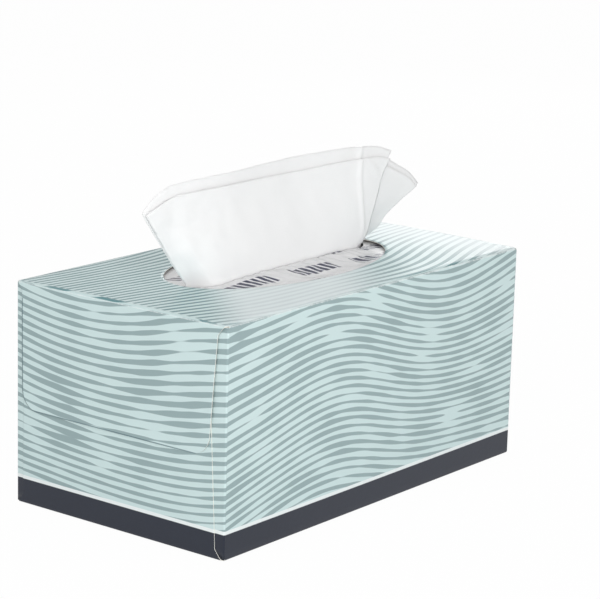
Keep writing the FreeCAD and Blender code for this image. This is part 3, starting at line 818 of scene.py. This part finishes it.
def edge_table(points):
    """Running length along an edge, as a share from -1 to 1 that is 0 over the slit's middle."""
    xs = np.array([point[0] for point in points]) * MM
    zs = np.array([point[1] for point in points]) * MM
    run = np.concatenate([[0], np.cumsum(np.hypot(np.diff(xs), np.diff(zs)))])
    middle = np.interp(0.0, xs, run)
    share = np.where(run < middle, (run - middle) / middle, (run - middle) / (run[-1] - middle))
    fine = np.linspace(-1, 1, 241)
    smooth = []
    for values in (np.interp(fine, share, xs), np.interp(fine, share, zs)):
        padded = np.concatenate([[values[0]] * 4, values, [values[-1]] * 4])
        rounded = np.convolve(padded, np.ones(9) / 9, mode="valid")
        blend_in = np.clip((1 - np.abs(fine)) * 18, 0, 1)
        smooth.append(values * (1 - blend_in) + rounded * blend_in)
    return fine, smooth[0], smooth[1]


EDGES = {True: edge_table(FRONT_EDGE), False: edge_table(BACK_EDGE)}


def root_place(across):
    """Where the gathered sheet passes the slit."""
    return across * (GATHERED_LEFT if across < 0 else GATHERED_RIGHT)


def root_depth(across, front):
    """Depth at which a leaf passes the slit; the two leaves meet at the sheet's side edges."""
    along = root_place(across)
    lips = [front_lip(along, HALF_SLIT) + LIP_ROOM, back_lip(along, HALF_SLIT) - LIP_ROOM]
    middle = mix(*lips, 0.5)
    apart = mix(0.12, 1.0, ease((1 - abs(across)) / 0.16))
    return mix(middle, lips[0] if front else lips[1], apart)


def fold_line(height):
    """Where the pleat on the right folds at one height."""
    return 0.0668 + 0.70 * (height - 0.121)


def pleated(along, height, overlap):
    """Takes a place on the opened sheet to its place and depth with the pleat folded."""
    depth = overlap * ease((height - 0.117) / 0.012)
    fold = fold_line(height)
    past = along - fold
    if depth <= 1e-6 or past <= 0:
        return along, 0.0
    if past <= depth:
        behind = ease(past / PLEAT_BEND) + 0.5 * ease((past - depth + PLEAT_BEND) / PLEAT_BEND)
        return fold - past, PLEAT_STEP * behind
    behind = 1.5 + 0.5 * ease((past - depth) / PLEAT_BEND)
    return fold - 2 * depth + past, PLEAT_STEP * behind


def leaf_point(settings, share, across, front):
    """A point of a leaf, share of the way up from the slit to its edge."""
    shares, alongs, heights = EDGES[front]
    edge_along = float(np.interp(across, shares, alongs))
    edge_height = float(np.interp(across, shares, heights))
    right = ease(across * 3 - 2)
    flare = share ** (0.93 if across < 0 else 1 - 0.20 * right)
    along = mix(root_place(across), edge_along, flare)
    height = mix(LEAF_ROOT, edge_height, share ** (1 + 0.05 * right))
    edge = -0.7 * MM if front else 0.7 * MM
    wave = 2.2 * MM * math.sin(math.pi * (1.5 * across + 0.3)) * share
    depth = mix(root_depth(across, front), edge, ease(1.15 * share)) + wave
    place, behind = pleated(along, height, settings.pleat)
    wing = ease((along - fold_line(height)) / 0.02)
    depth += behind + 2 * MM * wing * share + crease_depth(settings, along, height, share, front)
    return Vector((place, depth, height))


def crease_depth(settings, along, height, share, front):
    """Soft creases: one upright near the pleat, a slanting one, and uneven shallow ones."""
    seed = settings.seed
    upright_line = 0.0615 + 0.16 * (height - 0.118)
    upright = math.exp(-((along - upright_line) / CREASE_WIDTH) ** 2) * 1.5
    slant_line = 0.075 - 0.9 * (height - 0.160)
    slant = math.exp(-((along - slant_line) / CREASE_WIDTH) ** 2) * ease((height - 0.147) / 0.008)
    shallow = noise_at(seed, along * 26, height * 30) * 1.5
    shallow += noise_at(seed + 1, along * 70, height * 45) * 0.7
    shallow -= 0.5 * abs(noise_at(seed + 4, along * 60 + height * 25, height * 40))
    crushed = noise_at(seed + 2, along * 120, height * 160) * 0.9 * ease((-along - 0.03) / 0.05)
    depth = shallow + crushed - upright - 1.2 * slant + (0.0 if front else 0.15)
    return settings.crease * ease(share * 3) * depth * (1.0 if front else 0.75)


def laid_point(stretch, share, across):
    """A point of the sheet below the slit, where it lies folded on the stack."""
    low, high = REST, REST + LAYER_GAP
    front, back = root_depth(across, True), root_depth(across, False)
    angle = share * math.pi / 2
    wide = LAYER_BEND + LAYER_GAP
    if stretch == "front bend":
        depth, height = front + wide * (1 - math.cos(angle)), low + wide * (1 - math.sin(angle))
    elif stretch == "back bend":
        depth = back + LAYER_BEND * (1 - math.cos(angle))
        height = high + LAYER_BEND * (1 - math.sin(angle))
    elif stretch == "lower layer":
        depth, height = mix(front + wide, LAID_REACH, share), low
    elif stretch == "upper layer":
        depth, height = mix(back + LAYER_BEND, LAID_REACH, share), high
    else:
        turn = share * math.pi
        depth = LAID_REACH + LAYER_GAP / 2 * math.sin(turn)
        height = low + LAYER_GAP / 2 * (1 - math.cos(turn))
    away = ease((depth - back) / LAID_REACH)
    return Vector((mix(root_place(across), across * LAID_HALF_WIDTH, away), depth, height))


def raised_way():
    """The sheet's way from the front leaf's edge, through the slit and back to the other edge."""
    leaf = spaced(0, 1, 34)
    bend = spaced(0, 1, 7)
    laid = spaced(0, 1, 9)
    fold = spaced(0, 1, 7)
    way = [("front leaf", share) for share in leaf[::-1]]
    way += [("front bend", share) for share in bend]
    way += [("lower layer", share) for share in laid[1:]]
    way += [("fold", share) for share in fold[1:]]
    way += [("upper layer", share) for share in laid[-2::-1]]
    way += [("back bend", share) for share in bend[-2::-1]]
    way += [("back leaf", share) for share in leaf]
    return way


def raised_columns():
    """Places across the sheet, close together at the pleat."""
    return spaced(-1, 0.45, 120) + spaced(0.45, 1, 110)[1:]


def sheet_row(settings, stretch, share, columns):
    """One row of points across the sheet."""
    if stretch.endswith("leaf"):
        front = stretch.startswith("front")
        return [leaf_point(settings, share, across, front) for across in columns]
    return [laid_point(stretch, share, across) for across in columns]


class TISSUEBOX_OT_raised_tissue(bpy.types.Operator):
    """Build the sheet that stands up out of the slit"""

    bl_idname = "tissuebox.raised_tissue"
    bl_label = "Raised Tissue"

    def execute(self, context):
        settings = context.scene.tissue_box_tissue
        columns = raised_columns()
        rows = []
        flat = []
        run = [0.0] * len(columns)
        for stretch, share in raised_way():
            row = sheet_row(settings, stretch, share, columns)
            if rows:
                run = [
                    length + (point - before).length
                    for length, point, before in zip(run, row, rows[-1])
                ]
            rows.append(row)
            middle = run[len(run) // 2]
            flat.append([(SHEET_HALF_WIDTH * across, middle) for across in columns])
        surface = Surface()
        surface.grid(rows, flat, (0, -1, 0))
        piece = surface.build("raised_sheet", join=1e-7)
        piece.data.materials.append(tissue_material("raised_paper", settings.tissue_colour))
        give_thickness(piece, settings.thickness, 0)
        finish_piece(piece, "raised_tissue")
        return {"FINISHED"}


# Stack

STACK_ROUNDING = 3 * MM
STACK_RIDGE, STACK_UNEVEN = 0.4 * MM, 0.3 * MM
STACK_LEVELS = 150


def stack_outline():
    """Section of the stack from the foot up: (inset from the side with its ridges, height)."""
    rows = []
    for number, level in enumerate(spaced(STACK_LOW.z, STACK_HIGH.z, STACK_LEVELS)):
        from_end = max(0.0, min(level - STACK_LOW.z, STACK_HIGH.z - level))
        past = max(0.0, STACK_ROUNDING - from_end)
        rounding = STACK_ROUNDING - math.sqrt(max(0.0, STACK_ROUNDING ** 2 - past ** 2))
        ridged = number % 2 == 1 and number < STACK_LEVELS - 1
        rows.append((rounding + (STACK_RIDGE if ridged else 0.0), level))
    return rows


def stack_reach(along, inset, level):
    """How far the stack's long side stands from its middle."""
    return STACK_HIGH.y - inset - STACK_UNEVEN * abs(noise_at(11, along * 30, level * 900))


class TISSUEBOX_OT_stack(bpy.types.Operator):
    """Build the stack of folded sheets inside the carton"""

    bl_idname = "tissuebox.stack"
    bl_label = "Tissue Stack"

    def execute(self, context):
        settings = context.scene.tissue_box_tissue
        surface = Surface()
        half_length, half_width = STACK_HIGH.x, STACK_HIGH.y
        stations = graded(-half_length, half_length, 60)
        columns = spaced(-1, 1, 24)
        outline = stack_outline()
        for side in (-1, 1):
            rows = [
                [(along, side * stack_reach(along, *point), point[1]) for point in outline]
                for along in stations
            ]
            flat = [[(along, level) for _, level in outline] for along in stations]
            surface.grid(rows, flat, (0, side, 0))
        for end in (-1, 1):
            along = end * half_length
            rows = [
                [(along, across * stack_reach(along, inset, level), level) for across in columns]
                for inset, level in outline
            ]
            flat = [[(across * half_width, level) for across in columns] for _, level in outline]
            surface.grid(rows, flat, (end, 0, 0))
        for (inset, level), facing in ((outline[0], -1), (outline[-1], 1)):
            rows = [
                [(along, across * stack_reach(along, inset, level), level) for across in columns]
                for along in stations
            ]
            flat = [[(along, across * half_width) for across in columns] for along in stations]
            surface.grid(rows, flat, (0, 0, facing))
        piece = surface.build("folded_stack", join=2e-6)
        piece.data.materials.append(tissue_material("stacked_paper", settings.stack_colour))
        finish_piece(piece, "tissue_stack")
        return {"FINISHED"}


# Stage

CAMERA_PLACE = Vector((-0.9795, -0.7780, 0.3950))
CAMERA_AZIMUTH = math.radians(-52.10)
CAMERA_ELEVATION = math.radians(13.44)
CAMERA_ROLL = math.radians(1.55)
CAMERA_LENS = 148.26
WORLD_LEVEL = 0.42
FLOOR_REACH, FLOOR_LEVEL = 6.0, -0.6 * MM
# Each lamp: name, place, target, size and power in watts
LAMPS = (
    ("corner_softbox", (-0.85, -0.85, 0.5), (-0.1, -0.06, 0.06), (0.8, 0.7), 7.6),
    ("front_fill", (0.6, -1.3, 0.45), (0, 0, 0.06), (1.0, 0.8), 2.6),
    ("left_fill", (-1.4, 0.1, 0.4), (0, 0, 0.06), (0.8, 0.8), 1.4),
    ("back_fill", (0.1, 1.4, 0.6), (0, 0, 0.06), (1.0, 0.8), 1.8),
    ("overhead", (0.2, 0.3, 1.3), (0, 0, 0.1), (1.2, 1.0), 2.0),
    ("rear_sheen", (1.30, 0.68, 0.42), (0.08, 0.0, 0.11), (0.5, 0.4), 1.35),
)


def camera_axes():
    back = Vector((
        math.sin(CAMERA_AZIMUTH) * math.cos(CAMERA_ELEVATION),
        -math.cos(CAMERA_AZIMUTH) * math.cos(CAMERA_ELEVATION),
        math.sin(CAMERA_ELEVATION),
    ))
    right = Vector((0, 0, 1)).cross(back).normalized()
    up = back.cross(right)
    turned_right = math.cos(CAMERA_ROLL) * right + math.sin(CAMERA_ROLL) * up
    turned_up = -math.sin(CAMERA_ROLL) * right + math.cos(CAMERA_ROLL) * up
    return turned_right, turned_up, back


def add_camera():
    data = bpy.data.cameras.new("camera")
    data.lens = CAMERA_LENS
    data.sensor_width = 36
    data.sensor_fit = "HORIZONTAL"
    data.clip_start, data.clip_end = 0.05, 50
    camera = bpy.data.objects.new("camera", data)
    bpy.context.scene.collection.objects.link(camera)
    axes = Matrix(camera_axes()).transposed().to_4x4()
    camera.matrix_world = Matrix.Translation(CAMERA_PLACE) @ axes
    bpy.context.scene.camera = camera


def area_light(name, place, target, size, power):
    data = bpy.data.lights.new(name, "AREA")
    data.shape = "RECTANGLE"
    data.size, data.size_y = size
    data.energy = power
    lamp = bpy.data.objects.new(name, data)
    bpy.context.scene.collection.objects.link(lamp)
    lamp.location = place
    lamp.rotation_euler = (Vector(target) - Vector(place)).to_track_quat("-Z", "Y").to_euler()


def seen_directly(tree):
    """1 for rays from the camera, a mirror-like surface or a clear one, and 0 for the light."""
    path = tree.nodes.new("ShaderNodeLightPath")
    seen = path.outputs["Is Camera Ray"]
    for kind in ("Is Glossy Ray", "Is Transmission Ray"):
        either = tree.nodes.new("ShaderNodeMath")
        either.operation = "MAXIMUM"
        tree.links.new(seen, either.inputs[0])
        tree.links.new(path.outputs[kind], either.inputs[1])
        seen = either.outputs[0]
    return seen


def floor_material(tint):
    nodes = Nodes("pale_floor")
    texture = nodes.add("TexCoord")
    cloud = nodes.noise(texture.outputs["Object"], 40.0, 3.0)
    diffuse = nodes.add("BsdfDiffuse")
    nodes.link(nodes.blend(cloud, tuple(tint), scaled(tint, 1.02)), diffuse.inputs["Color"])
    glow = nodes.add("Emission")
    glow.inputs["Strength"].default_value = 1.0
    share = nodes.math("MULTIPLY", seen_directly(nodes.tree), 0.98)
    mixed = nodes.add("MixShader")
    nodes.link(share, mixed.inputs[0])
    nodes.link(diffuse.outputs[0], mixed.inputs[1])
    nodes.link(glow.outputs[0], mixed.inputs[2])
    nodes.link(mixed.outputs[0], nodes.output.inputs["Surface"])
    return nodes.material


def add_floor(tint):
    mesh = bpy.data.meshes.new("floor")
    turns = ((-1, -1), (1, -1), (1, 1), (-1, 1))
    corners = [(FLOOR_REACH * x, FLOOR_REACH * y, FLOOR_LEVEL) for x, y in turns]
    mesh.from_pydata(corners, [], [(0, 1, 2, 3)])
    floor = bpy.data.objects.new("floor", mesh)
    bpy.context.scene.collection.objects.link(floor)
    floor.data.materials.append(floor_material(tint))


def add_world(level):
    world = bpy.data.worlds.new("studio")
    bpy.context.scene.world = world
    world.use_nodes = True
    tree = world.node_tree
    background = tree.nodes["Background"]
    background.inputs["Color"].default_value = (1, 1, 1, 1)
    strength = tree.nodes.new("ShaderNodeMapRange")
    strength.inputs["To Min"].default_value = level
    strength.inputs["To Max"].default_value = 1.0
    tree.links.new(seen_directly(tree), strength.inputs["Value"])
    tree.links.new(strength.outputs["Result"], background.inputs["Strength"])


class TISSUEBOX_OT_stage(bpy.types.Operator):
    """Set up the camera, the pale floor and the soft studio light"""

    bl_idname = "tissuebox.stage"
    bl_label = "Stage"

    def execute(self, context):
        settings = context.scene.tissue_box_stage
        add_camera()
        add_floor(settings.floor_colour)
        add_world(WORLD_LEVEL)
        for name, place, target, size, power in LAMPS:
            area_light(name, place, target, size, power * settings.light)
        context.scene.view_settings.view_transform = "Standard"
        return {"FINISHED"}


class TISSUEBOX_PT_panel(bpy.types.Panel):
    bl_idname = "TISSUEBOX_PT_panel"
    bl_label = "Tissue Box"
    bl_space_type = "VIEW_3D"
    bl_region_type = "UI"
    bl_category = "Tissue Box"

    def draw(self, context):
        layout = self.layout
        for name, operator in PARTS:
            if name:
                settings = getattr(context.scene, name)
                for key in settings.bl_rna.properties.keys():
                    if key not in ("rna_type", "name"):
                        layout.prop(settings, key)
            layout.operator(operator)


PARTS = (
    ("tissue_box_stage", "tissuebox.stage"),
    ("tissue_box_carton", "tissuebox.carton"),
    ("tissue_box_film", "tissuebox.film"),
    (None, "tissuebox.stack"),
    ("tissue_box_tissue", "tissuebox.raised_tissue"),
)
SETTINGS = {
    "tissue_box_stage": StageSettings,
    "tissue_box_carton": CartonSettings,
    "tissue_box_film": FilmSettings,
    "tissue_box_tissue": TissueSettings,
}
CLASSES = (
    *SETTINGS.values(),
    TISSUEBOX_OT_stage,
    TISSUEBOX_OT_carton,
    TISSUEBOX_OT_film,
    TISSUEBOX_OT_stack,
    TISSUEBOX_OT_raised_tissue,
    TISSUEBOX_PT_panel,
)


def register():
    for item in CLASSES:
        bpy.utils.register_class(item)
    for name, group in SETTINGS.items():
        setattr(bpy.types.Scene, name, PointerProperty(type=group))


def unregister():
    for name in SETTINGS:
        delattr(bpy.types.Scene, name)
    for item in reversed(CLASSES):
        bpy.utils.unregister_class(item)


def main():
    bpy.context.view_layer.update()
    register()
    bpy.ops.tissuebox.stage()
    bpy.ops.tissuebox.carton()
    bpy.ops.tissuebox.film()
    bpy.ops.tissuebox.stack()
    bpy.ops.tissuebox.raised_tissue()


if __name__ == "__main__":
    main()
